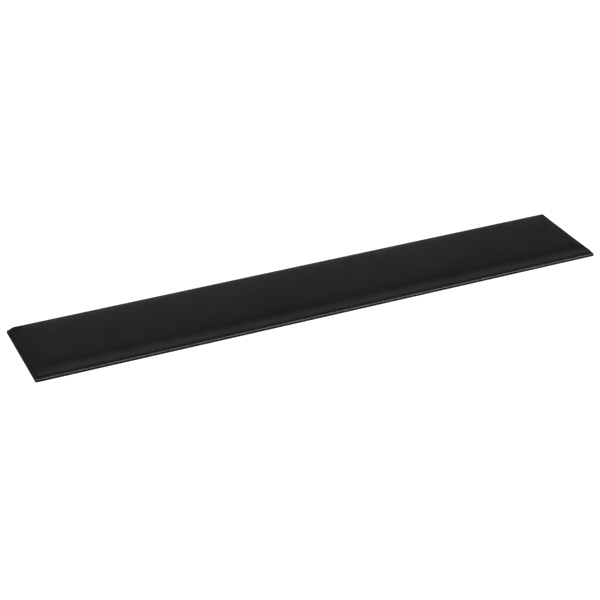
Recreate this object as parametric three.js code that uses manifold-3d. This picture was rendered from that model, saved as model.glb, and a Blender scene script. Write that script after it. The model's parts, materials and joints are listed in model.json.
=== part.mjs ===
// A slim keyboard wrist rest: a soft black leatherette pad, edged with piping, on a thin moulded base.
//
// Frame, in millimetres: X runs along the rest, Y from the user's side to the keyboard's side, Z up.
// The origin is on the desk, under the middle of the rest.

import * as THREE from 'three';
import { mergeVertices } from 'three/addons/utils/BufferGeometryUtils.js';
import Module from 'manifold-3d';

const wasm = await Module();
wasm.setup();

// ---- driving dimensions ----

const LENGTH = 440;
const DEPTH = 72.5;
const PAD_TOP = 7.55; // top of the pad beside its shoulders, above the desk
const CROWN = 0.75; // extra height along the pad's middle line
const CORNER_RADIUS = 0.6; // of the base, in plan

// The base and its feet
const FOOT_LENGTH = 46;
const FOOT_WIDTH = 9;
const FOOT_END_RADIUS = 4;
const FOOT_STICKS_OUT = 0.5;
const FOOT_POCKET_DEPTH = 0.5;
const FOOT_POCKET_CLEARANCE = 0.3;
const FOOT_ADHESIVE = 0.1;
const FOOT_COLUMNS = [-165, 0, 165];
const FOOT_ROWS = [-23, 23];
const BASE_THICKNESS = 0.9;

// The piping: a leatherette strip rolled round a cord, pressed oval, standing on the base's rim
const PIPING_HALF_WIDTH = 1.38;
const PIPING_HALF_HEIGHT = 0.83;
const PIPING_SETBACK = 0.18; // from the base's edge to the piping's outer side
const PIPING_MIDDLE = 1.6; // height of its middle above the underside of the base
const PIPING_LEATHER = 0.35;
const CORD_CLEARANCE = 0.1;
const PIPING_SEAM = 0.2; // the slit where the strip's edges meet, on the pad's side

// The cover: its wall stands inside the piping and its hem turns in under the wrap board
const COVER_INSET = 3.2; // from the base's edge to the cover's wall
const COVER_THICKNESS = 0.6;
const COVER_CORNER_RADIUS = 1.4;
const SHOULDER_RUN = 5.4;
const SHOULDER_RISE = 4.8;
const HEM_THICKNESS = 0.5;
const HEM_EDGE_INSET = 10;
const HEM_CORNER_RADIUS = 3;

// What the cover holds
const SOFT_GAP = 0.25; // around a piece inside the cover
const TAPE_GAP = 0.3;
const BOARD_THICKNESS = 0.8;
const BOARD_CORNER_RADIUS = 1.6;
const CORE_ADHESIVE = 0.1;
const GEL_POCKET_INSET = 13;
const GEL_POCKET_HEIGHT = 2.5;
const GEL_POCKET_RADIUS = 6;
const GEL_FILM = 0.15;
const GEL_GAP = 0.05;

// ---- heights of the layers, from the desk up ----

const BASE_BOTTOM = FOOT_STICKS_OUT;
const BASE_TOP = BASE_BOTTOM + BASE_THICKNESS;
const HEM_TOP = BASE_TOP + HEM_THICKNESS;
const BOARD_TOP = HEM_TOP + BOARD_THICKNESS;
const CORE_BOTTOM = BOARD_TOP + CORE_ADHESIVE;
const POCKET_CEILING = BASE_BOTTOM + FOOT_POCKET_DEPTH;

// ---- finishes ----

function finish(color, roughness) {
  return new THREE.MeshStandardMaterial({ color, roughness, metalness: 0 });
}

const LEATHERETTE = finish(0x19191b, 0.55);
const PIPING_LEATHERETTE = finish(0x1c1c1e, 0.45);
const CORD_FIBRE = finish(0xd8d5cc, 0.9);
const FOAM = finish(0x4a4d52, 0.95);
const GEL = finish(0x5fa6c4, 0.2);
const FILM = finish(0xdfe6ea, 0.15);
const ADHESIVE = finish(0xe6e0cc, 0.6);
const BOARD = finish(0x6b5236, 0.85);
const BASE_PLASTIC = finish(0x141415, 0.6);
const FOOT_RUBBER = finish(0x202022, 0.9);

// ---- solids ----

// A closed three.js geometry as a solid that can be joined and cut.
function solid(geometry) {
  const bare = geometry.clone();
  bare.deleteAttribute('normal');
  bare.deleteAttribute('uv');
  const merged = mergeVertices(bare, 1e-5);
  const mesh = new wasm.Mesh({
    numProp: 3,
    vertProperties: Float32Array.from(merged.attributes.position.array),
    triVerts: Uint32Array.from(merged.index.array),
  });
  return new wasm.Manifold(mesh);
}

function meshOf(name, shape, material) {
  const cut = shape.getMesh();
  const geometry = new THREE.BufferGeometry();
  geometry.setAttribute('position', new THREE.BufferAttribute(Float32Array.from(cut.vertProperties), 3));
  geometry.setIndex(new THREE.BufferAttribute(Uint32Array.from(cut.triVerts), 1));
  geometry.computeVertexNormals();
  const mesh = new THREE.Mesh(geometry, material);
  mesh.name = name;
  return mesh;
}

// An upright slab with rounded plan corners, centred on (x, y).
function slab({ length, depth, radius, bottom, top, x = 0, y = 0 }) {
  const right = length / 2 - radius;
  const back = depth / 2 - radius;
  const outline = new THREE.Shape();
  outline.absarc(right, back, radius, 0, Math.PI / 2);
  outline.absarc(-right, back, radius, Math.PI / 2, Math.PI);
  outline.absarc(-right, -back, radius, Math.PI, 1.5 * Math.PI);
  outline.absarc(right, -back, radius, 1.5 * Math.PI, 2 * Math.PI);
  const geometry = new THREE.ExtrudeGeometry(outline, {
    depth: top - bottom,
    bevelEnabled: false,
    curveSegments: 6,
  });
  geometry.translate(x, y, bottom);
  return solid(geometry);
}

// A slab whose sides lie the given inset in from the base's edge.
function insetSlab(inset, radius, bottom, top) {
  return slab({ length: LENGTH - 2 * inset, depth: DEPTH - 2 * inset, radius, bottom, top });
}

// A cushion's outline, seen end on: upright walls, elliptical shoulders and a crowned top.
function cushionOutline({ span, bottom, top, run, rise, crown }) {
  const half = span / 2;
  const outline = new THREE.Shape();
  outline.moveTo(-half, bottom);
  outline.lineTo(half, bottom);
  outline.absellipse(half - run, top - rise, run, rise, 0, Math.PI / 2);
  if (crown > 0) {
    outline.quadraticCurveTo(0, top + 2 * crown, run - half, top);
  }
  outline.absellipse(run - half, top - rise, run, rise, Math.PI / 2, Math.PI);
  outline.closePath();
  return outline;
}

// The cushion is what its lengthwise and crosswise outlines have in common, so its shoulders
// meet in mitred corners, which the slab then rounds in plan.
function cushion({ inset, radius, bottom, top, run, rise }) {
  const crosswise = new THREE.ExtrudeGeometry(
    cushionOutline({ span: DEPTH - 2 * inset, bottom, top, run, rise, crown: CROWN }),
    { depth: LENGTH, bevelEnabled: false, curveSegments: 10 },
  );
  crosswise.translate(0, 0, -LENGTH / 2);
  crosswise.applyMatrix4(new THREE.Matrix4().makeBasis(
    new THREE.Vector3(0, 1, 0),
    new THREE.Vector3(0, 0, 1),
    new THREE.Vector3(1, 0, 0),
  ));
  const lengthwise = new THREE.ExtrudeGeometry(
    cushionOutline({
      span: LENGTH - 2 * inset,
      bottom,
      top: top + CROWN,
      run,
      rise: rise + CROWN,
      crown: 0,
    }),
    { depth: DEPTH, bevelEnabled: false, curveSegments: 10 },
  );
  lengthwise.translate(0, 0, -DEPTH / 2);
  lengthwise.rotateX(Math.PI / 2);
  const corners = insetSlab(inset, radius, bottom, top + CROWN);
  return solid(crosswise).intersect(solid(lengthwise)).intersect(corners);
}

// An oval rod round all four sides of the rest, with its corners filled by ellipsoids.
function ringRod(halfWidth, halfHeight) {
  const inset = PIPING_SETBACK + PIPING_HALF_WIDTH;
  const middle = BASE_BOTTOM + PIPING_MIDDLE;
  const right = LENGTH / 2 - inset;
  const back = DEPTH / 2 - inset;
  const lengthwiseOval = new THREE.Shape();
  lengthwiseOval.absellipse(0, 0, halfHeight, halfWidth, 0, 2 * Math.PI);
  const crosswiseOval = new THREE.Shape();
  crosswiseOval.absellipse(0, 0, halfWidth, halfHeight, 0, 2 * Math.PI);
  let ring = null;
  const add = (geometry) => {
    ring = ring ? ring.add(solid(geometry)) : solid(geometry);
  };
  for (const side of [-1, 1]) {
    const long = new THREE.ExtrudeGeometry(lengthwiseOval, {
      depth: 2 * right,
      bevelEnabled: false,
      curveSegments: 8,
    });
    long.rotateY(Math.PI / 2);
    long.translate(-right, side * back, middle);
    add(long);
    const short = new THREE.ExtrudeGeometry(crosswiseOval, {
      depth: 2 * back,
      bevelEnabled: false,
      curveSegments: 8,
    });
    short.rotateX(Math.PI / 2);
    short.translate(side * right, back, middle);
    add(short);
    for (const end of [-1, 1]) {
      const corner = new THREE.SphereGeometry(1, 16, 8);
      corner.rotateX(Math.PI / 2);
      corner.scale(halfWidth, halfWidth, halfHeight);
      corner.translate(side * right, end * back, middle);
      add(corner);
    }
  }
  return ring;
}

// ---- the base and its feet ----

function footSlab(bottom, top, x, y, clearance = 0) {
  return slab({
    length: FOOT_LENGTH + 2 * clearance,
    depth: FOOT_WIDTH + 2 * clearance,
    radius: FOOT_END_RADIUS + clearance,
    bottom,
    top,
    x,
    y,
  });
}

const footPlaces = FOOT_ROWS.flatMap((y) => FOOT_COLUMNS.map((x) => ({ x, y })));

function basePanel() {
  let panel = insetSlab(0, CORNER_RADIUS, BASE_BOTTOM, BASE_TOP);
  for (const { x, y } of footPlaces) {
    const pocket = footSlab(BASE_BOTTOM - 1, POCKET_CEILING, x, y, FOOT_POCKET_CLEARANCE);
    panel = panel.subtract(pocket);
  }
  return meshOf('base_panel', panel, BASE_PLASTIC);
}

function feet() {
  const group = new THREE.Group();
  const adhesiveBottom = POCKET_CEILING - FOOT_ADHESIVE;
  footPlaces.forEach(({ x, y }, index) => {
    const number = index + 1;
    const pad = footSlab(0, adhesiveBottom, x, y);
    group.add(meshOf(`anti_slip_foot_${number}`, pad, FOOT_RUBBER));
    const adhesive = footSlab(adhesiveBottom, POCKET_CEILING, x, y);
    group.add(meshOf(`foot_adhesive_${number}`, adhesive, ADHESIVE));
  });
  return group;
}

// ---- the piping ----

function pipingCover() {
  const leather = ringRod(PIPING_HALF_WIDTH, PIPING_HALF_HEIGHT);
  const bore = ringRod(PIPING_HALF_WIDTH - PIPING_LEATHER, PIPING_HALF_HEIGHT - PIPING_LEATHER);
  const middle = BASE_BOTTOM + PIPING_MIDDLE;
  const seam = insetSlab(
    PIPING_SETBACK + PIPING_HALF_WIDTH,
    CORNER_RADIUS,
    middle - PIPING_SEAM / 2,
    middle + PIPING_SEAM / 2,
  );
  const aboveBase = insetSlab(0, CORNER_RADIUS, BASE_TOP, PAD_TOP);
  const cover = leather.subtract(bore).subtract(seam).intersect(aboveBase);
  return meshOf('piping_cover', cover, PIPING_LEATHERETTE);
}

function pipingCord() {
  const wall = PIPING_LEATHER + CORD_CLEARANCE;
  const cord = ringRod(PIPING_HALF_WIDTH - wall, PIPING_HALF_HEIGHT - wall);
  return meshOf('piping_cord', cord, CORD_FIBRE);
}

// ---- the pad ----

function topCover() {
  const outside = cushion({
    inset: COVER_INSET,
    radius: COVER_CORNER_RADIUS,
    bottom: BASE_TOP,
    top: PAD_TOP,
    run: SHOULDER_RUN,
    rise: SHOULDER_RISE,
  });
  const inside = cushion({
    inset: COVER_INSET + COVER_THICKNESS,
    radius: COVER_CORNER_RADIUS - COVER_THICKNESS,
    bottom: HEM_TOP,
    top: PAD_TOP - COVER_THICKNESS,
    run: SHOULDER_RUN - COVER_THICKNESS,
    rise: SHOULDER_RISE - COVER_THICKNESS,
  });
  const hemOpening = insetSlab(HEM_EDGE_INSET, HEM_CORNER_RADIUS, 0, BOARD_TOP);
  return meshOf('top_cover', outside.subtract(inside).subtract(hemOpening), LEATHERETTE);
}

function comfortFoam() {
  const setIn = COVER_THICKNESS + SOFT_GAP;
  const foam = cushion({
    inset: COVER_INSET + setIn,
    radius: COVER_CORNER_RADIUS - setIn,
    bottom: CORE_BOTTOM,
    top: PAD_TOP - setIn,
    run: SHOULDER_RUN - setIn,
    rise: PAD_TOP - setIn - CORE_BOTTOM,
  });
  const pocket = insetSlab(
    GEL_POCKET_INSET,
    GEL_POCKET_RADIUS,
    CORE_BOTTOM - 1,
    CORE_BOTTOM + GEL_POCKET_HEIGHT,
  );
  return meshOf('comfort_foam', foam.subtract(pocket), FOAM);
}

function gelFilm() {
  const outerInset = GEL_POCKET_INSET + GEL_GAP;
  const innerInset = outerInset + GEL_FILM;
  const top = CORE_BOTTOM + GEL_POCKET_HEIGHT;
  const outside = insetSlab(outerInset, GEL_POCKET_RADIUS, CORE_BOTTOM, top);
  const inside = insetSlab(innerInset, GEL_POCKET_RADIUS, CORE_BOTTOM - 1, top - GEL_FILM);
  return meshOf('gel_film', outside.subtract(inside), FILM);
}

function gelPad() {
  const inset = GEL_POCKET_INSET + 2 * GEL_GAP + GEL_FILM;
  const top = CORE_BOTTOM + GEL_POCKET_HEIGHT - GEL_FILM;
  return meshOf('gel_pad', insetSlab(inset, GEL_POCKET_RADIUS, CORE_BOTTOM, top), GEL);
}

function coreAdhesive() {
  const inset = COVER_INSET + COVER_THICKNESS + 2 * SOFT_GAP;
  const film = insetSlab(inset, BOARD_CORNER_RADIUS, BOARD_TOP, CORE_BOTTOM);
  return meshOf('core_adhesive', film, ADHESIVE);
}

function wrapBoard() {
  const inset = COVER_INSET + COVER_THICKNESS + SOFT_GAP;
  const board = insetSlab(inset, BOARD_CORNER_RADIUS, HEM_TOP, BOARD_TOP);
  return meshOf('wrap_board', board, BOARD);
}

function baseTape() {
  const inset = HEM_EDGE_INSET + TAPE_GAP;
  const tape = insetSlab(inset, HEM_CORNER_RADIUS, BASE_TOP, HEM_TOP);
  return meshOf('base_tape', tape, ADHESIVE);
}

// ---- assembly ----

const wristRest = new THREE.Group();
wristRest.add(basePanel(), feet());
wristRest.add(pipingCover(), pipingCord());
wristRest.add(baseTape(), wrapBoard(), coreAdhesive());
wristRest.add(gelPad(), gelFilm(), comfortFoam(), topCover());

export default wristRest;
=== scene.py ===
"""A slim leatherette keyboard wrist rest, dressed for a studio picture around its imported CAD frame.

Everything is in metres in the CAD's own frame: X along the rest, Y from the user to the keyboard, Z up.
Sizes and places come from the frame's boxes; the finer ones are named below, in millimetres.
Most pieces are lofts: loops round a rectangle with rounded corners, each loop a row of
(inset from the piece's widest outline, height, corner radius).
"""

import json
import math
from collections import namedtuple

import bmesh
import bpy
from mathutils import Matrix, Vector, noise


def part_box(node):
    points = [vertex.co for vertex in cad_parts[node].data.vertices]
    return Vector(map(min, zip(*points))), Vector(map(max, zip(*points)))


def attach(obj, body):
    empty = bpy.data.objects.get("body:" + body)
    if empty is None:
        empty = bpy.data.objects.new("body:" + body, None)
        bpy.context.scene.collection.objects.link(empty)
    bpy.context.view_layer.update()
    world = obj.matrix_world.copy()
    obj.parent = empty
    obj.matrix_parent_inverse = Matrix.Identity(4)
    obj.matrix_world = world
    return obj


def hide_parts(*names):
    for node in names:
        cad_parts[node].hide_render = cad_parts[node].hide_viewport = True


MM = 0.001

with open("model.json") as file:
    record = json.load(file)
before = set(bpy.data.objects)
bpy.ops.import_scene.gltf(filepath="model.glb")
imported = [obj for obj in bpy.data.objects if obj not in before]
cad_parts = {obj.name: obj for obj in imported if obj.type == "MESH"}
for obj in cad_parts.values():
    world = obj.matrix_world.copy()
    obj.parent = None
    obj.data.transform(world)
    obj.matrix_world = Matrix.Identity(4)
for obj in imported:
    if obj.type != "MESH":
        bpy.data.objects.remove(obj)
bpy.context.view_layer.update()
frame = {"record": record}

# ---- sizes, in metres ----

BASE_LOW, BASE_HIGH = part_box("base_panel")
PIPING_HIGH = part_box("piping_cover")[1]
CORD_LOW, CORD_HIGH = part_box("piping_cord")
COVER_LOW, COVER_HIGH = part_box("top_cover")
BOARD_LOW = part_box("wrap_board")[0]
FOAM_LOW, FOAM_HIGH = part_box("comfort_foam")
FILM_LOW, FILM_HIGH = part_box("gel_film")

# The pad: shoulders that are part of an ellipse, then a crown that carries on from their slope
CROWN = 0.45 * MM
SWELL = 0.3 * MM  # how far the middle of the top rises when the cover is blown up as cloth
SWELL_PRESSURE = 4
SWELL_FRAMES = 20
SHOULDER_RUN = 5.45 * MM
SHOULDER_ARC = 82  # degrees of the ellipse's quarter
SHOULDER_STEPS = 18
CORNER_SHARPENING = 0.3  # how much of each step inwards the corner radius loses
SHARPEST_CORNER = 0.5 * MM
UNEVENNESS = 0.03 * MM
UNEVENNESS_SPACING = 30 * MM

COVER_THICKNESS = BOARD_LOW.z - COVER_LOW.z
COVER_CORNER_RADIUS = 1.1 * MM
HEM_WIDTH = 6.8 * MM
HEM_FOLD = 0.6 * MM
HEM_STEPS = 6
CREASE_GAP = 0.04 * MM  # between the cover and the piping that it presses against
CREASE_ANGLE = 42  # degrees up the piping's inner side, where the cover leaves it
CREASE_STEPS = 4
END_BULGE = 1.6 * MM  # over the piping at the two ends; the fades leave up to 0.9 mm of it
END_BULGE_FADE = 3  # the power with which it dies away towards the top
CORNER_FILL = 1.4 * MM  # each way at the pad's four corners; the fades leave up to 0.8 mm of it
CORNER_FILL_FADE = 1.5
CORNER_REACH = 4 * MM  # along the sides, over which the fill falls to about a third

FOAM_CORNER_RADIUS = 1.2 * MM
FOAM_SIDE = 0.9 * MM  # the upright part of the foam's side
POCKET_GAP = 0.05 * MM
POUCH_CORNER_RADIUS = 6 * MM
POUCH_EDGE = 0.7 * MM
FILM_THICKNESS = 0.12 * MM

PIPING_MIDDLE = (CORD_LOW.z + CORD_HIGH.z) / 2
PIPING_HALF_HEIGHT = PIPING_HIGH.z - PIPING_MIDDLE
PIPING_HALF_WIDTH = 1.38 * MM
PIPING_LEATHER = 0.3 * MM
PIPING_CORNER_RADIUS = 0.9 * MM
PIPING_MITRE_RADIUS = 0.05 * MM  # where the piping is too far in for its corner to stay round
PIPING_LIFT = 0.01 * MM  # of its flat underside over the base
PIPING_SLIT = 8  # degrees either side of the inner line, where the strip's edges meet
PIPING_STEPS = 30

CORD_PITCH = 8 * MM
CORD_STRANDS = 3
CORD_GROOVE = 0.2  # depth between the strands, as a share of the cord's half height
CORD_CORNER_RADIUS = 1 * MM
CORD_SIDES = 18

BASE_CORNER_RADIUS = 0.6 * MM
BASE_EDGE = 0.2 * MM
BOARD_CORNER_RADIUS = 1.6 * MM
BOARD_EDGE = 0.12 * MM
TAPE_CORNER_RADIUS = 3 * MM
ADHESIVE_EDGE = 0.03 * MM
FOOT_CORNER_RADIUS = 4 * MM
FOOT_EDGE = 0.12 * MM
FOOT_RIBS = 4
FOOT_RIB_PITCH = 0.8 * MM
FOOT_RIB_DEPTH = 0.14 * MM
FOOT_RIB_STEPS = 6
POCKET_CLEARANCE = 0.3 * MM

FEET = range(1, 7)
FLOOR_GAP = 0.05 * MM

# How many points a loop has along the rest, across it and round each corner
Steps = namedtuple("Steps", "long short corner")
PAD_STEPS = Steps(200, 32, 8)
PLATE_STEPS = Steps(80, 16, 6)
FOOT_STEPS = Steps(28, 4, 10)
CORD_STEPS = Steps(820, 126, 4)

EDGE_STEPS = 4  # round each softened edge
SHARP_ANGLE = 40  # degrees between faces, above which their edge is left crisp
CORD_SHARP_ANGLE = 60

NOISE_SPAN = (0.3, 0.7)  # what a noise texture's values mostly lie between

CAMERA_LENS = 96.95  # mm
CAMERA_SENSOR = 36  # mm
CAMERA_TARGET = (-13.08 * MM, -6.18 * MM, BASE_LOW.z)
CAMERA_AZIMUTH = -24.36  # degrees, from the user's side round to the left
CAMERA_ELEVATION = 29.36
CAMERA_DISTANCE = 1174.6 * MM

# ---- mesh helpers ----


def link(name, mesh):
    obj = bpy.data.objects.new(name, mesh)
    bpy.context.scene.collection.objects.link(obj)
    return obj


def shade_smooth(obj, sharp_angle=SHARP_ANGLE):
    """Smooth shading, but with crisp edges where faces meet at more than the angle, in degrees."""
    obj.data.polygons.foreach_set("use_smooth", [True] * len(obj.data.polygons))
    obj.data.set_sharp_from_angle(angle=math.radians(sharp_angle))


def between(start, end, steps):
    """Numbers from start up to, but not including, end."""
    return [start + (end - start) * i / steps for i in range(steps)]


def outline(half_x, half_y, radius, steps):
    """(x, y, outward direction) all round a rectangle with rounded corners, anticlockwise."""
    across = half_x - radius
    along = half_y - radius
    points = [(half_x, y, 0) for y in between(-along, along, steps.short)]
    points += corner(across, along, radius, 0, steps)
    points += [(x, half_y, 90) for x in between(across, -across, steps.long)]
    points += corner(-across, along, radius, 90, steps)
    points += [(-half_x, y, 180) for y in between(along, -along, steps.short)]
    points += corner(-across, -along, radius, 180, steps)
    points += [(x, -half_y, 270) for x in between(-across, across, steps.long)]
    points += corner(across, -along, radius, 270, steps)
    return points


def corner(x, y, radius, start, steps):
    points = []
    for angle in between(start, start + 90, steps.corner):
        a = math.radians(angle)
        points.append((x + radius * math.cos(a), y + radius * math.sin(a), angle))
    return points


def loop(half_x, half_y, radius, z, steps):
    return [Vector((x, y, z)) for x, y, _ in outline(half_x, half_y, radius, steps)]


def add_loft(bm, loops, closed=False):
    """Quads between neighbouring loops of equal count; closed joins the last loop to the first."""
    rings = [[bm.verts.new(p) for p in points] for points in loops]
    pairs = list(zip(rings, rings[1:]))
    if closed:
        pairs.append((rings[-1], rings[0]))
    for low, high in pairs:
        for i in range(len(low)):
            j = (i + 1) % len(low)
            bm.faces.new((low[i], low[j], high[j], high[i]))
    return rings


def add_cap(bm, ring, steps, height=None):
    """A grid of quads inside a loop, with its rows running from corner to corner.

    height(x, y) gives the height of the grid's inner points, which is otherwise the loop's.
    """
    columns = steps.long + steps.corner
    rows = steps.short + steps.corner
    level = ring[0].co.z
    sides = split_ring(ring, columns, rows, steps)
    grid = [[None] * (columns + 1) for _ in range(rows + 1)]
    grid[0] = sides["front"]
    grid[rows] = sides["back"][::-1]
    for j in range(1, rows):
        grid[j][0] = sides["left"][rows - j]
        grid[j][columns] = sides["right"][j]
    corners = [grid[j][i].co for j in (0, rows) for i in (0, columns)]
    for j in range(1, rows):
        v = j / rows
        for i in range(1, columns):
            u = i / columns
            point = blend(grid[j][0].co, grid[j][columns].co, u)
            point += blend(grid[0][i].co, grid[rows][i].co, v)
            point -= blend(blend(corners[0], corners[1], u), blend(corners[2], corners[3], u), v)
            point.z = height(point.x, point.y) if height else level
            grid[j][i] = bm.verts.new(point)
    for j in range(rows):
        for i in range(columns):
            bm.faces.new((grid[j][i], grid[j][i + 1], grid[j + 1][i + 1], grid[j + 1][i]))


def split_ring(ring, columns, rows, steps):
    """The ring cut into four sides at the middles of its corners, each with both its end points."""
    count = len(ring)
    start = count - steps.corner // 2
    sides = {}
    for side, length in (("right", rows), ("back", columns), ("left", rows), ("front", columns)):
        sides[side] = [ring[(start + i) % count] for i in range(length + 1)]
        start += length
    return sides


def blend(a, b, share):
    return a * (1 - share) + b * share


def node_size(node):
    """The middle of a node's box and half its size."""
    low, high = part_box(node)
    return (low + high) / 2, (high - low) / 2


def loops_of(node, rows, steps):
    _, half = node_size(node)
    return [loop(half.x - inset, half.y - inset, radius, z, steps) for inset, z, radius in rows]


def closed_body(node, rows, steps, top=None):
    """A bmesh in a node's place: its loops lofted, and capped at both ends."""
    middle, _ = node_size(node)
    bm = bmesh.new()
    rings = add_loft(bm, loops_of(node, rows, steps))
    add_cap(bm, rings[0], steps)
    add_cap(bm, rings[-1], steps, top)
    bmesh.ops.translate(bm, verts=bm.verts, vec=(middle.x, middle.y, 0))
    return bm


def softened(low, high, edge, radius):
    """Rows up the side of a plate whose edges are rounded off by a quarter circle."""
    rows = []
    for i in range(EDGE_STEPS + 1):
        a = math.radians(90 * i / EDGE_STEPS)
        rows.append((edge * (1 - math.sin(a)), low + edge * (1 - math.cos(a))))
    for i in range(EDGE_STEPS + 1):
        a = math.radians(90 * i / EDGE_STEPS)
        rows.append((edge * (1 - math.cos(a)), high - edge * (1 - math.sin(a))))
    return [(inset, z, radius - inset) for inset, z in rows]


def finished(name, bm, sharp_angle=SHARP_ANGLE):
    bmesh.ops.recalc_face_normals(bm, faces=bm.faces)
    mesh = bpy.data.meshes.new(name)
    bm.to_mesh(mesh)
    bm.free()
    obj = link(name, mesh)
    shade_smooth(obj, sharp_angle)
    return obj


def apply_modifiers(obj):
    """The mesh that the modifiers make becomes the object's own."""
    graph = bpy.context.evaluated_depsgraph_get()
    mesh = bpy.data.meshes.new_from_object(obj.evaluated_get(graph))
    obj.modifiers.clear()
    old = obj.data
    obj.data = mesh
    bpy.data.meshes.remove(old)


def thicken(obj, thickness):
    """Gives a skin its thickness, inwards from the surface that was modelled."""
    solidify = obj.modifiers.new("thickness", "SOLIDIFY")
    solidify.thickness = thickness
    solidify.offset = -1
    apply_modifiers(obj)
    shade_smooth(obj)


def swell(skin, low, high):
    """Blows a skin up as cloth, held still below low and quite free at high.

    The moves are then shrunk, all alike, until the longest is SWELL.
    """
    held = skin.vertex_groups.new(name="held")
    for vertex in skin.data.vertices:
        free = (vertex.co.z - low) / (high - low)
        held.add([vertex.index], 1 - min(max(free, 0), 1), "REPLACE")
    cloth = skin.modifiers.new("swelling", "CLOTH")
    cloth.settings.vertex_group_mass = held.name
    cloth.settings.use_pressure = True
    cloth.settings.uniform_pressure_force = SWELL_PRESSURE
    cloth.settings.effector_weights.gravity = 0
    cloth.collision_settings.use_collision = False
    scene = bpy.context.scene
    for number in range(1, SWELL_FRAMES + 1):
        scene.frame_set(number)
    graph = bpy.context.evaluated_depsgraph_get()
    swollen = [vertex.co.copy() for vertex in skin.evaluated_get(graph).data.vertices]
    skin.modifiers.clear()
    skin.vertex_groups.clear()
    scene.frame_set(1)
    moves = [new - vertex.co for new, vertex in zip(swollen, skin.data.vertices)]
    share = SWELL / max(move.length for move in moves)
    for move, vertex in zip(moves, skin.data.vertices):
        vertex.co += share * move


def settle(obj, node):
    """obj stands for the CAD node and takes its slot's finish."""
    slot = SLOTS[node]
    obj.data.materials.clear()
    obj.data.materials.append(MATERIALS[slot])
    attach(obj, "root")
    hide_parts(node)
    return obj


# ---- materials ----


class Nodes:
    """A small helper for writing a material's node tree in a few lines."""

    def __init__(self, name):
        self.material = bpy.data.materials.new(name)
        self.material.use_nodes = True
        self.tree = self.material.node_tree
        self.shader = self.tree.nodes["Principled BSDF"]
        self.place = self.add("ShaderNodeTexCoord").outputs["Object"]

    def add(self, kind, **settings):
        node = self.tree.nodes.new(kind)
        for name, value in settings.items():
            setattr(node, name, value)
        return node

    def join(self, source, target):
        self.tree.links.new(source, target)

    def noise(self, scale, detail=2.0, roughness=0.5, stretch=None):
        node = self.add("ShaderNodeTexNoise")
        node.inputs["Scale"].default_value = scale
        node.inputs["Detail"].default_value = detail
        node.inputs["Roughness"].default_value = roughness
        self.join(self.stretched(stretch), node.inputs["Vector"])
        return node.outputs["Fac"]

    def cells(self, scale, feature="F1", stretch=None):
        node = self.add("ShaderNodeTexVoronoi", feature=feature)
        node.inputs["Scale"].default_value = scale
        self.join(self.stretched(stretch), node.inputs["Vector"])
        return node.outputs["Distance"]

    def stretched(self, stretch):
        if stretch is None:
            return self.place
        node = self.add("ShaderNodeMapping")
        node.inputs["Scale"].default_value = stretch
        self.join(self.place, node.inputs["Vector"])
        return node.outputs["Vector"]

    def height(self):
        node = self.add("ShaderNodeSeparateXYZ")
        self.join(self.place, node.inputs["Vector"])
        return node.outputs["Z"]

    def ramp(self, source, low, high, start=0.0, end=1.0):
        """source from start to end as a number from low to high."""
        node = self.add("ShaderNodeMapRange")
        node.inputs["From Min"].default_value = start
        node.inputs["From Max"].default_value = end
        node.inputs["To Min"].default_value = low
        node.inputs["To Max"].default_value = high
        self.join(source, node.inputs["Value"])
        return node.outputs["Result"]

    def combine(self, a, b, operation):
        node = self.add("ShaderNodeMath", operation=operation)
        self.join(a, node.inputs[0])
        self.join(b, node.inputs[1])
        return node.outputs["Value"]

    def colour(self, source, dark, light, start=0.0, end=1.0):
        node = self.add("ShaderNodeValToRGB")
        node.color_ramp.elements[0].position = start
        node.color_ramp.elements[0].color = (*dark, 1)
        node.color_ramp.elements[1].position = end
        node.color_ramp.elements[1].color = (*light, 1)
        self.join(source, node.inputs["Fac"])
        self.join(node.outputs["Color"], self.shader.inputs["Base Color"])

    def rough(self, source):
        self.join(source, self.shader.inputs["Roughness"])

    def bump(self, source, distance, below=None):
        node = self.add("ShaderNodeBump")
        node.inputs["Distance"].default_value = distance
        self.join(source, node.inputs["Height"])
        if below is not None:
            self.join(below, node.inputs["Normal"])
        self.join(node.outputs["Normal"], self.shader.inputs["Normal"])
        return node.outputs["Normal"]

    def constant(self, socket, value):
        self.shader.inputs[socket].default_value = value


def grey(level):
    return (level, level, level)


def grained_leatherette(nodes, grain):
    """A fine pebble grain, with narrow valleys between the pebbles and tiny pores on them."""
    pebbles = nodes.ramp(nodes.cells(1300, "DISTANCE_TO_EDGE"), 0, 1, 0.0, 0.25)
    swell = nodes.ramp(nodes.noise(420, detail=2), 0, 1, *NOISE_SPAN)
    soft = nodes.bump(swell, grain)
    raised = nodes.bump(pebbles, grain, below=soft)
    nodes.bump(nodes.noise(5200, detail=2), 0.3 * grain, below=raised)
    return pebbles


def pad_leatherette(name):
    """Matt polyurethane leatherette: a little shinier in the valleys of its grain."""
    nodes = Nodes(name)
    blotches = nodes.noise(35, detail=3)
    nodes.colour(blotches, grey(0.0105), grey(0.0130), *NOISE_SPAN)
    pebbles = grained_leatherette(nodes, 0.02 * MM)
    sheen = nodes.ramp(nodes.noise(60, detail=4), -0.03, 0.03, *NOISE_SPAN)
    nodes.rough(nodes.combine(nodes.ramp(pebbles, 0.58, 0.64), sheen, "ADD"))
    nodes.constant("Specular IOR Level", 0.06)
    return nodes.material


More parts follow.
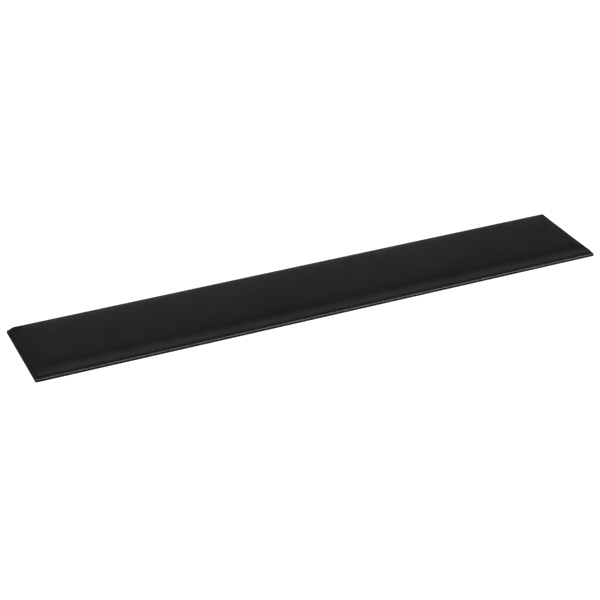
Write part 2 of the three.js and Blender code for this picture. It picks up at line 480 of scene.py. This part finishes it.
def piping_leatherette(name):
    """The same leatherette pulled tight over its cord, smoother, and painted lighter along its crest: a
    painted highlight mixed with rubbed wear.
    """
    nodes = Nodes(name)
    # painted highlight: the colour gets lighter up the piping's crest, broken by noise into patches of
    # rubbed wear
    crest = nodes.ramp(nodes.height(), 0, 0.55, PIPING_MIDDLE, PIPING_HIGH.z)
    highlight_and_wear = nodes.combine(crest, nodes.noise(90, detail=4), "MULTIPLY")
    nodes.colour(highlight_and_wear, grey(0.01), grey(0.016), 0.1, 0.5)
    grained_leatherette(nodes, 0.01 * MM)
    nodes.rough(nodes.ramp(nodes.noise(70, detail=4), 0.34, 0.39, *NOISE_SPAN))
    nodes.constant("Specular IOR Level", 1)
    return nodes.material


def moulded_plastic(name):
    """Injection-moulded plastic with a fine spark-eroded texture."""
    nodes = Nodes(name)
    nodes.colour(nodes.noise(50, detail=3), (0.006, 0.006, 0.0063), (0.009, 0.009, 0.0094), 0.35, 0.65)
    nodes.rough(nodes.ramp(nodes.noise(900, detail=3), 0.55, 0.68, *NOISE_SPAN))
    nodes.bump(nodes.noise(2600, detail=4, roughness=0.7), 0.03 * MM)
    nodes.constant("Specular IOR Level", 0.08)
    return nodes.material


def grip_rubber(name):
    """Soft rubber with a dusty bloom."""
    nodes = Nodes(name)
    nodes.colour(nodes.noise(200, detail=4), (0.012, 0.012, 0.013), (0.022, 0.022, 0.023), *NOISE_SPAN)
    nodes.rough(nodes.ramp(nodes.noise(700), 0.8, 0.95, *NOISE_SPAN))
    nodes.bump(nodes.noise(4000, detail=3), 0.03 * MM)
    nodes.constant("Specular IOR Level", 0.3)
    return nodes.material


def open_cell_foam(name):
    """Grey polyurethane foam, with painted shade in its open cells: they are painted darker than the
    walls between them.
    """
    nodes = Nodes(name)
    cells = nodes.cells(1800, "DISTANCE_TO_EDGE")
    # painted shade: the hollows of the open cells are coloured darker than the walls between them
    nodes.colour(cells, (0.1, 0.105, 0.12), (0.03, 0.033, 0.038), 0.02, 0.25)
    nodes.rough(nodes.ramp(nodes.noise(300), 0.9, 1.0, *NOISE_SPAN))
    nodes.bump(nodes.ramp(cells, 1, 0, 0.0, 0.25), 0.2 * MM)
    return nodes.material


def blue_gel(name):
    """Soft translucent gel with a few faint swirls."""
    nodes = Nodes(name)
    nodes.colour(nodes.noise(60, detail=2), (0.06, 0.26, 0.42), (0.1, 0.36, 0.52), *NOISE_SPAN)
    nodes.rough(nodes.ramp(nodes.noise(150), 0.12, 0.25, *NOISE_SPAN))
    nodes.bump(nodes.noise(200, detail=2), 0.1 * MM)
    nodes.constant("Transmission Weight", 0.35)
    return nodes.material


def clear_film(name):
    """Clear stretched film, faintly creased."""
    nodes = Nodes(name)
    nodes.colour(nodes.noise(80), (0.7, 0.74, 0.78), (0.86, 0.89, 0.92), *NOISE_SPAN)
    nodes.rough(nodes.ramp(nodes.noise(120), 0.05, 0.2, *NOISE_SPAN))
    nodes.bump(nodes.noise(90, detail=3, stretch=(0.4, 1, 1)), 0.15 * MM)
    nodes.constant("Transmission Weight", 0.8)
    return nodes.material


def acrylic_adhesive(name):
    """Acrylic adhesive film, slightly mottled where it has wetted out."""
    nodes = Nodes(name)
    nodes.colour(nodes.noise(120, detail=4), (0.6, 0.55, 0.42), (0.78, 0.74, 0.6), *NOISE_SPAN)
    nodes.rough(nodes.ramp(nodes.noise(90, detail=3), 0.35, 0.6, *NOISE_SPAN))
    nodes.bump(nodes.noise(1200), 0.02 * MM)
    return nodes.material


def fibreboard(name):
    """Pressed brown fibreboard, its fibres lying mostly along the rest."""
    nodes = Nodes(name)
    fibres = nodes.noise(900, detail=5, roughness=0.7, stretch=(0.25, 1, 1))
    nodes.colour(fibres, (0.1, 0.055, 0.03), (0.24, 0.15, 0.085), *NOISE_SPAN)
    nodes.rough(nodes.ramp(nodes.noise(200), 0.8, 0.92, *NOISE_SPAN))
    nodes.bump(fibres, 0.06 * MM)
    return nodes.material


def cotton_cord(name):
    """Undyed cotton, with fine fibres along the strands."""
    nodes = Nodes(name)
    fibres = nodes.noise(2400, detail=4, roughness=0.7)
    nodes.colour(fibres, (0.45, 0.42, 0.36), (0.72, 0.7, 0.63), *NOISE_SPAN)
    nodes.rough(nodes.ramp(nodes.noise(500), 0.85, 0.98, *NOISE_SPAN))
    nodes.bump(fibres, 0.05 * MM)
    return nodes.material


MATERIALS = {
    "leatherette": pad_leatherette("leatherette"),
    "piping_leatherette": piping_leatherette("piping_leatherette"),
    "cord_fibre": cotton_cord("cord_fibre"),
    "foam": open_cell_foam("foam"),
    "gel": blue_gel("gel"),
    "film": clear_film("film"),
    "adhesive": acrylic_adhesive("adhesive"),
    "board": fibreboard("board"),
    "base_plastic": moulded_plastic("base_plastic"),
    "foot_rubber": grip_rubber("foot_rubber"),
}

SLOTS = {row["node"]: row["material_slot"] for row in frame["record"]["subparts"]}

# ---- the pad's shape, shared by the cover and the foam ----


def shoulder(inset, low, crest, radius):
    """Rows over a shoulder, from its upright start at low to its end at crest."""
    rise = (crest - low) / math.sin(math.radians(SHOULDER_ARC))
    rows = []
    for i in range(SHOULDER_STEPS + 1):
        a = math.radians(SHOULDER_ARC * i / SHOULDER_STEPS)
        inwards = SHOULDER_RUN * (1 - math.cos(a))
        sharpened = max(radius - CORNER_SHARPENING * inwards, SHARPEST_CORNER)
        rows.append((inset + inwards, low + rise * math.sin(a), sharpened))
    return rows


def crowned_top(node, rows):
    """height(x, y) of a top that starts with the slope of its last two rows and levels off."""
    _, half = node_size(node)
    inset, crest, _ = rows[-1]
    before = rows[-2]
    slope = (crest - before[1]) / (inset - before[0])
    reach = CROWN / slope

    def height(x, y):
        ends = 1 - math.exp(-max(half.x - inset - abs(x), 0) / reach)
        sides = 1 - math.exp(-max(half.y - inset - abs(y), 0) / reach)
        bump = UNEVENNESS * noise.noise(Vector((x, y, 0)) / UNEVENNESS_SPACING)
        return crest + (CROWN + bump) * ends * sides

    return height


# ---- the cover ----


def beside_piping(angle):
    """The cover's (inset, height) where it presses on the piping, angle degrees up its inner side."""
    a = math.radians(angle)
    side = PIPING_HIGH.x - PIPING_HALF_WIDTH * (1 + math.cos(a))
    return COVER_HIGH.x - side + CREASE_GAP, PIPING_MIDDLE + PIPING_HALF_HEIGHT * math.sin(a)


def cover_rows():
    """From the hem's inner edge out under the pad, round the fold, up the wall and over the shoulder."""
    low = COVER_LOW.z
    radius = COVER_CORNER_RADIUS
    rows = [(inset, low, radius) for inset in between(HEM_WIDTH, HEM_FOLD, HEM_STEPS)]
    for i in range(EDGE_STEPS + 1):
        a = math.radians(90 * i / EDGE_STEPS)
        rows.append((HEM_FOLD * (1 - math.sin(a)), low + HEM_FOLD * (1 - math.cos(a)), radius))
    rows += [(*beside_piping(angle), radius) for angle in between(0, CREASE_ANGLE, CREASE_STEPS)]
    inset, crease = beside_piping(CREASE_ANGLE)
    return rows + shoulder(inset, crease, COVER_HIGH.z - CROWN - SWELL, radius)


def cover_loops(rows):
    """The rows as loops that bulge over the piping at the two ends and, above it, at the corners.

    Both fade away towards the top. The fill starts at the piping's top, to stay clear of it.
    """
    _, half = node_size("top_cover")
    _, crease = beside_piping(CREASE_ANGLE)
    crest = rows[-1][1]
    loops = []
    for inset, z, radius in rows:
        left_to_rise = (crest - z) / (crest - crease)
        bulge = END_BULGE * risen(z, crease) * left_to_rise ** END_BULGE_FADE
        fill = CORNER_FILL * risen(z, PIPING_HIGH.z) * left_to_rise ** CORNER_FILL_FADE
        points = loop(half.x + bulge - inset, half.y - inset, radius, z, PAD_STEPS)
        fill_corners(points, fill)
        loops.append(points)
    return loops


def risen(z, start):
    """How far z is above start, from 0 to 1 over the piping's half height."""
    return min(max((z - start) / PIPING_HALF_HEIGHT, 0), 1)


def fill_corners(points, amount):
    """Pushes a loop's points out by the amount at its four corners, less and less along its sides."""
    widest = max(point.x for point in points)
    deepest = max(point.y for point in points)
    for point in points:
        away = widest - abs(point.x) + deepest - abs(point.y)
        push = amount * math.exp(-away / CORNER_REACH)
        point.x += math.copysign(push, point.x)
        point.y += math.copysign(push, point.y)


def top_cover():
    rows = cover_rows()
    bm = bmesh.new()
    rings = add_loft(bm, cover_loops(rows))
    add_cap(bm, rings[-1], PAD_STEPS, crowned_top("top_cover", rows))
    cover = finished("top_cover_leather", bm)
    swell(cover, PIPING_HIGH.z, COVER_HIGH.z - CROWN - SWELL)
    thicken(cover, COVER_THICKNESS)
    return settle(cover, "top_cover")


# ---- what the cover holds ----


def comfort_foam():
    """A crowned block of foam with a pocket for the gel in its underside."""
    foam_half = node_size("comfort_foam")[1]
    pocket = foam_half.x - node_size("gel_film")[1].x - POCKET_GAP
    low = FOAM_LOW.z
    ceiling = FILM_HIGH.z + POCKET_GAP
    rows = [(pocket, ceiling, POUCH_CORNER_RADIUS), (pocket, low, POUCH_CORNER_RADIUS)]
    rows += softened(low, low + FOAM_SIDE, BOARD_EDGE, FOAM_CORNER_RADIUS)[:EDGE_STEPS + 1]
    rows += shoulder(0, low + FOAM_SIDE, FOAM_HIGH.z - CROWN - SWELL, FOAM_CORNER_RADIUS)
    top = crowned_top("comfort_foam", rows)
    foam = finished("comfort_foam_block", closed_body("comfort_foam", rows, PAD_STEPS, top))
    return settle(foam, "comfort_foam")


def gel_pad():
    low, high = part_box("gel_pad")
    rows = softened(low.z, high.z, POUCH_EDGE, POUCH_CORNER_RADIUS)
    gel = finished("gel_pad_fill", closed_body("gel_pad", rows, PLATE_STEPS))
    return settle(gel, "gel_pad")


def gel_film():
    """A shallow pouch over the gel, open where it is stuck to the board."""
    rows = softened(FILM_LOW.z, FILM_HIGH.z, POUCH_EDGE, POUCH_CORNER_RADIUS)[EDGE_STEPS + 1:]
    rows = [(0, FILM_LOW.z, POUCH_CORNER_RADIUS)] + rows
    bm = bmesh.new()
    rings = add_loft(bm, loops_of("gel_film", rows, PLATE_STEPS))
    add_cap(bm, rings[-1], PLATE_STEPS)
    film = finished("gel_film_pouch", bm)
    thicken(film, FILM_THICKNESS)
    return settle(film, "gel_film")


def plate(node, name, edge, radius, steps):
    low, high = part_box(node)
    rows = softened(low.z, high.z, edge, radius)
    return settle(finished(name, closed_body(node, rows, steps)), node)


def layers():
    """The board and the films of adhesive that hold the layers together."""
    plate("wrap_board", "wrap_board_panel", BOARD_EDGE, BOARD_CORNER_RADIUS, PLATE_STEPS)
    plate("core_adhesive", "core_adhesive_film", ADHESIVE_EDGE, BOARD_CORNER_RADIUS, PLATE_STEPS)
    plate("base_tape", "base_tape_film", ADHESIVE_EDGE, TAPE_CORNER_RADIUS, PLATE_STEPS)


# ---- the piping ----


def rolled(depth, start, end):
    """Rows round the oval that lies the given depth in from the piping's surface, flat underneath."""
    flat = BASE_HIGH.z + PIPING_LIFT + depth
    rows = []
    for i in range(PIPING_STEPS + 1):
        a = math.radians(blend(start, end, i / PIPING_STEPS))
        inset = PIPING_HALF_WIDTH - (PIPING_HALF_WIDTH - depth) * math.cos(a)
        z = PIPING_MIDDLE + (PIPING_HALF_HEIGHT - depth) * math.sin(a)
        rows.append((inset, max(z, flat), max(PIPING_CORNER_RADIUS - inset, PIPING_MITRE_RADIUS)))
    return rows


def piping_cover():
    """A strip of leatherette rolled round the cord: out along its outer face, back along its inner."""
    rows = rolled(0, PIPING_SLIT - 180, 180 - PIPING_SLIT)
    rows += rolled(PIPING_LEATHER, 180 - PIPING_SLIT, PIPING_SLIT - 180)
    bm = bmesh.new()
    add_loft(bm, loops_of("piping_cover", rows, PAD_STEPS), closed=True)
    return settle(finished("piping_leather", bm), "piping_cover")


def piping_cord():
    """Three strands twisted together, pressed as flat as the piping."""
    _, half = node_size("piping_cord")
    half_height = half.z
    half_width = PIPING_HALF_WIDTH - (PIPING_HIGH.x - CORD_HIGH.x)
    centre = outline(half.x - half_width, half.y - half_width, CORD_CORNER_RADIUS, CORD_STEPS)
    places = [Vector((x, y, PIPING_MIDDLE)) for x, y, _ in centre]
    gaps = [(b - a).length for a, b in zip(places, places[1:] + places[:1])]
    turns = round(sum(gaps) / CORD_PITCH)
    loops = []
    for side in range(CORD_SIDES):
        around = 2 * math.pi * side / CORD_SIDES
        points = []
        along = 0
        for place, gap, (_, _, facing) in zip(places, gaps, centre):
            twist = 2 * math.pi * turns * along / sum(gaps)
            radius = 1 - CORD_GROOVE * (1 + math.cos(CORD_STRANDS * (around - twist))) / 2
            f = math.radians(facing)
            outward = Vector((math.cos(f), math.sin(f), 0)) * half_width * math.cos(around)
            upward = Vector((0, 0, half_height * math.sin(around)))
            points.append(place + radius * (outward + upward))
            along += gap
        loops.append(points)
    bm = bmesh.new()
    add_loft(bm, loops, closed=True)
    return settle(finished("piping_cord_twist", bm, CORD_SHARP_ANGLE), "piping_cord")


# ---- the base and its feet ----


def base_panel():
    """The moulded base, with a pocket for each foot in its underside."""
    rows = softened(BASE_LOW.z, BASE_HIGH.z, BASE_EDGE, BASE_CORNER_RADIUS)
    base = finished("base_panel_moulding", closed_body("base_panel", rows, PLATE_STEPS))
    cutter = pocket_cutter()
    pockets = base.modifiers.new("pockets", "BOOLEAN")
    pockets.object = cutter
    pockets.operation = "DIFFERENCE"
    pockets.solver = "EXACT"
    apply_modifiers(base)
    bpy.data.objects.remove(cutter)
    shade_smooth(base)
    return settle(base, "base_panel")


def pocket_cutter():
    bm = bmesh.new()
    for number in FEET:
        middle, half = node_size(f"anti_slip_foot_{number}")
        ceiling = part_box(f"foot_adhesive_{number}")[1].z
        size = (half.x + POCKET_CLEARANCE, half.y + POCKET_CLEARANCE)
        radius = FOOT_CORNER_RADIUS + POCKET_CLEARANCE
        loops = [loop(*size, radius, z, FOOT_STEPS) for z in (0, ceiling)]
        for points in loops:
            for point in points:
                point += Vector((middle.x, middle.y, 0))
        rings = add_loft(bm, loops)
        for ring in rings:
            bm.faces.new(ring)
    return finished("pocket_cutter", bm)


def feet():
    for number in FEET:
        anti_slip_foot(f"anti_slip_foot_{number}")
        node = f"foot_adhesive_{number}"
        plate(node, f"{node}_film", ADHESIVE_EDGE, FOOT_CORNER_RADIUS, FOOT_STEPS)


def anti_slip_foot(node):
    """A rubber pad with grip ribs that run round and round its underside."""
    low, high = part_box(node)
    rows = softened(low.z, high.z, FOOT_EDGE, FOOT_CORNER_RADIUS)[::-1]
    steps = FOOT_RIB_STEPS * FOOT_RIBS
    for i in range(1, steps + 1):
        inwards = FOOT_RIB_PITCH * FOOT_RIBS * i / steps
        groove = (1 - math.cos(2 * math.pi * inwards / FOOT_RIB_PITCH)) / 2
        inset = 2 * FOOT_EDGE + inwards
        rows.append((inset, low.z + FOOT_RIB_DEPTH * groove, FOOT_CORNER_RADIUS - inset))
    foot = finished(f"{node}_rubber", closed_body(node, rows, FOOT_STEPS))
    return settle(foot, node)


# ---- the studio ----


def look_at(obj, target):
    direction = Vector(target) - obj.location
    obj.rotation_euler = direction.to_track_quat("-Z", "Y").to_euler()


def from_angles(target, azimuth, elevation, distance):
    a, e = math.radians(azimuth), math.radians(elevation)
    back = Vector((math.sin(a) * math.cos(e), -math.cos(a) * math.cos(e), math.sin(e)))
    return Vector(target) + distance * back


def camera():
    data = bpy.data.cameras.new("camera")
    data.lens = CAMERA_LENS
    data.sensor_width = CAMERA_SENSOR
    data.clip_start = 10 * MM
    obj = link("camera", data)
    obj.location = from_angles(CAMERA_TARGET, CAMERA_AZIMUTH, CAMERA_ELEVATION, CAMERA_DISTANCE)
    look_at(obj, CAMERA_TARGET)
    bpy.context.scene.camera = obj


def softbox(name, azimuth, elevation, distance, width, height, power):
    data = bpy.data.lights.new(name, "AREA")
    data.shape = "RECTANGLE"
    data.size = width
    data.size_y = height
    data.energy = power
    obj = link(name, data)
    obj.location = from_angles((0, 0, 0), azimuth, elevation, distance)
    obj.visible_camera = False
    look_at(obj, (0, 0, 0))


def studio_floor():
    bm = bmesh.new()
    bmesh.ops.create_grid(bm, x_segments=1, y_segments=1, size=4)
    bmesh.ops.translate(bm, verts=bm.verts, vec=(0, 0, -FLOOR_GAP))
    obj = finished("studio_floor", bm)
    nodes = Nodes("studio_floor")
    nodes.colour(nodes.noise(3), grey(0.82), grey(0.86), *NOISE_SPAN)
    nodes.constant("Roughness", 0.9)
    nodes.constant("Specular IOR Level", 0.1)
    nodes.constant("Emission Color", (1, 1, 1, 1))
    nodes.constant("Emission Strength", 0.58)
    obj.data.materials.append(nodes.material)
    obj.visible_glossy = False


def studio():
    world = bpy.data.worlds.new("studio")
    world.use_nodes = True
    background = world.node_tree.nodes["Background"]
    background.inputs["Color"].default_value = (1, 1, 1, 1)
    background.inputs["Strength"].default_value = 0.52
    bpy.context.scene.world = world
    world.cycles_visibility.glossy = False
    bpy.context.scene.view_settings.view_transform = "Standard"
    softbox("key", azimuth=-18, elevation=22, distance=2.0, width=0.7, height=0.4, power=11)
    softbox("strip", azimuth=24.5, elevation=18, distance=1.6, width=1.2, height=0.16, power=18)
    softbox("left", azimuth=-75, elevation=22, distance=2.0, width=1.4, height=0.8, power=23)
    softbox("rim", azimuth=164, elevation=3.5, distance=2.5, width=2.4, height=0.3, power=20)
    studio_floor()
    camera()


# ---- the scene ----

base_panel()
feet()
piping_cord()
piping_cover()
layers()
gel_pad()
gel_film()
comfort_foam()
top_cover()
studio()
